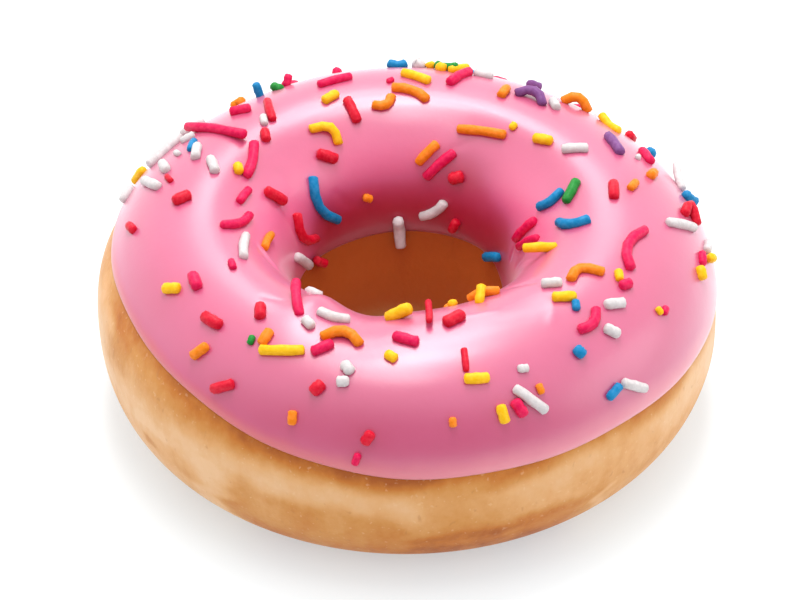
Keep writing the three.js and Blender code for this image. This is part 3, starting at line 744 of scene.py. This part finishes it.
def makeGlaze():
    # a ramp over tone and mottling, and near the outer edge the thin icing's colour mixed over it
    material, shader, place = startMaterial("pink icing")
    mottle = (place.noise(*glaze["mottle"]) - 0.5) * glaze["mottleShare"]
    base = (place.attribute("tone") + mottle).ramp(glaze["tones"])
    ragged = place.attribute("fromLow") + (place.noise(*glaze["ragged"]) - 0.5) * glaze["raggedMm"]
    paleEdge = place.attribute("paleEdge")
    thick = ragged.between(glaze["thinFrom"], glaze["thinTo"] + paleEdge * glaze["paleWider"])
    thin = (1 - thick) * (glaze["thinShare"] + paleEdge * glaze["paleAdds"])
    uneven = place.noise(*glaze["uneven"]) - 0.5
    pits = place.noise(*glaze["pits"]) * glaze["pitShare"] + place.noise(*glaze["ripples"])
    feed(shader, {
        "Base Color": thin.mix(base, paleEdge.mix(glaze["thin"], glaze["pale"])),
        "Roughness": glaze["roughness"] + uneven * glaze["roughnessVaries"],
        "Specular IOR Level": glaze["specular"], "Sheen Weight": glaze["sheen"],
        "Sheen Roughness": glaze["sheenRoughness"], "Coat Weight": place.attribute("gloss") * glaze["coat"],
        "Coat Roughness": glaze["coatRoughness"], "Subsurface Weight": glaze["subsurface"],
        "Subsurface Radius": glaze["subsurfaceRadius"], "Subsurface Scale": glaze["subsurfaceScale"],
        "Normal": place.bump(pits, glaze["grainDepth"], glaze["grain"]),
    })
    return material


finishPiece(icingCoat, makeGlaze())

sugar = {
    "white": (0.68, 0.63, 0.63), "red": (0.70, 0.001, 0.026), "pink": (0.78, 0.002, 0.085),
    "yellow": (0.98, 0.535, 0.002), "orange": (0.92, 0.235, 0.004), "green": (0.01, 0.25, 0.03),
    "blue": (0.0, 0.22, 0.49), "purple": (0.22, 0.07, 0.25),
    "specks": (1300, 3, 0.6), "speckRange": (0.35, 0.7), "paler": 0.02, "deeper": 0.86,
    "roughness": 0.4, "specular": 0.16, "grain": 0.3, "grainDepth": 0.0003,
}


def makeSugar(name):
    # a slightly deeper tone to a slightly paler one, by a fine noise
    material, shader, place = startMaterial(name + " sugar")
    paler = tuple(v + (1 - v) * sugar["paler"] for v in sugar[name])
    deeper = tuple(v * sugar["deeper"] for v in sugar[name])
    specks = place.noise(*sugar["specks"])
    feed(shader, {
        "Base Color": specks.between(*sugar["speckRange"]).mix(deeper, paler),
        "Roughness": sugar["roughness"], "Specular IOR Level": sugar["specular"],
        "Normal": place.bump(specks, sugar["grainDepth"], sugar["grain"]),
    })
    return material


for name, piece in sprinklePieces.items():
    finishPiece(piece, makeSugar(name))
print("finishes made")

studio = {
    "floorHalf": 3, "floor": (0.56, 0.56, 0.56, 1), "floorRoughness": 0.9, "floorSpecular": 0.1,
    "glow": 0.44, "glowColour": (0.87, 1, 1.06), "glowPastHoleShade": (0.022, 0.034),  # painted shade: no glow inside the hole
    # bright above and behind, dimmer low in front
    "sky": 1.24, "skyFront": 0.3, "skyWay": (0, 0.6, 0.8), "skyRange": (-0.5, 0.4),
    "spot": (0, 0, 0.02),  # that all lights face
    # place, width, height, energy in watts
    "lights": {
        "low": ((0.0, 0.54, 0.521), 0.3, 0.18, 0.6), "middle": ((0.0, 0.375, 0.65), 0.26, 0.18, 1.0),
        "high": ((0.0, 0.181, 0.728), 0.26, 0.18, 1.5), "top": ((-0.04, -0.026, 0.75), 0.3, 0.18, 0.74),
        "beside": ((0.7, -0.15, 0.2), 0.6, 0.35, 0.6),
    },
}


def makeFloor():
    half = studio["floorHalf"]
    mesh = bpy.data.meshes.new("floor")
    corners = [(-half, -half, 0), (half, -half, 0), (half, half, 0), (-half, half, 0)]
    mesh.from_pydata(corners, [], [(0, 1, 2, 3)])
    floor = bpy.data.objects.new("floor", mesh)
    bpy.context.scene.collection.objects.link(floor)
    # its own light, the same over the floor but none near the middle, which is painted shade in the hole,
    # and full from a little further out
    material, shader, place = startMaterial("white table")
    fromMiddle = place.node("ShaderNodeVectorMath", {"operation": "LENGTH"}, {0: place}, "Value")
    glowOutsideHoleShade = fromMiddle.between(*studio["glowPastHoleShade"])
    feed(shader, {
        "Base Color": studio["floor"], "Roughness": studio["floorRoughness"],
        "Specular IOR Level": studio["floorSpecular"], "Emission Strength": studio["glow"],
        "Emission Color": glowOutsideHoleShade.mix((0, 0, 0), studio["glowColour"]),
    })
    finishPiece(floor, material)


def makeLight(name, place, width, height, energy):
    data = bpy.data.lights.new(name, "AREA")
    data.shape = "ELLIPSE"
    data.size, data.size_y, data.energy = width, height, energy
    light = bpy.data.objects.new(name, data)
    light.location = place
    way = np.array(studio["spot"]) - np.array(place)
    flat = np.hypot(way[0], way[1])
    light.rotation_euler = (np.arctan2(flat, -way[2]), 0, np.arctan2(way[1], way[0]) - np.pi / 2)
    bpy.context.scene.collection.objects.link(light)


def makeSky():
    # a dim front plus a smooth step of how far a direction points up and back
    world = bpy.data.worlds.new("studio")
    world.use_nodes = True
    way = Wire(world.node_tree).node("ShaderNodeTexCoord", {}, {}, "Generated")
    sides = {0: way, 1: studio["skyWay"]}
    toBack = way.node("ShaderNodeVectorMath", {"operation": "DOT_PRODUCT"}, sides, "Value")
    rise = studio["sky"] - studio["skyFront"]
    strength = studio["skyFront"] + toBack.between(*studio["skyRange"]) * rise
    feed(world.node_tree.nodes["Background"], {"Color": (1, 1, 1, 1), "Strength": strength})
    bpy.context.scene.world = world


makeFloor()
makeSky()
for name, (place, width, height, energy) in studio["lights"].items():
    makeLight(name, place, width, height, energy)
print("floor and light made")
